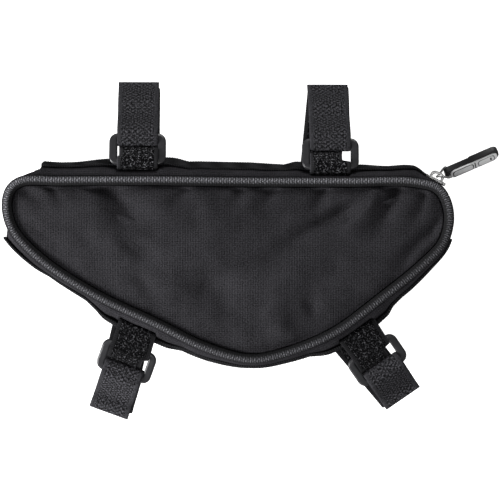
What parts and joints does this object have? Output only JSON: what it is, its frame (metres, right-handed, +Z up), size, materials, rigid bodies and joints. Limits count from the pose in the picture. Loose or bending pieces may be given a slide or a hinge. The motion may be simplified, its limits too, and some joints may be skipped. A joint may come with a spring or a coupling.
{
  "type": "bicycle frame bag",
  "caption": "Soft triangular bag in black nylon with piped edges, a curved zip, and strap loops with plastic rings that hold it inside a bicycle frame",
  "frame": {"origin": "the middle of the bag's outline, on the outer face of its flat back panel", "axes": "+X along the bag towards the zip slider, +Y across it towards the top tube's side, +Z up from the back panel to the front panel"},
  "size_m": [0.246, 0.1679, 0.0513],
  "materials": {
    "ripstop": "woven nylon",
    "piping": "woven tape",
    "tape": "woven tape",
    "coil": "satin",
    "webbing": "ribbed webbing",
    "strap": "woven nylon",
    "plastic": "satin",
    "metal": "satin",
    "rubber": "matte",
    "plate": "satin"
  },
  "bodies": {
    "bag": {"front_panel": "ripstop", "back_panel": "ripstop", "piping_front": "piping", "piping_back": "piping", "gusset_top": "ripstop", "gusset_bottom": "ripstop", "zip_tape_front": "tape", "zip_tape_back": "tape", "zip_coil": "coil", "webbing_top": "webbing", "webbing_bottom": "webbing", "strap_top_left": "strap", "strap_top_right": "strap", "strap_bottom_right": "strap", "strap_bottom_left": "strap", "ring_top_left": "plastic", "ring_top_right": "plastic", "ring_bottom_right": "plastic", "ring_bottom_left": "plastic", "zip_slider": "metal"},
    "zip_pull": {"pull_link": "metal", "pull_tab": "rubber", "pull_plate": "plate"}
  },
  "joints": [
    {"name": "pull_swing", "type": "hinge", "parent": "bag", "child": "zip_pull", "pos_m": [0.10467, 0.04652, 0.01063], "axis": [0, 0, 1], "range_deg": [-30, 95]}
  ]
}
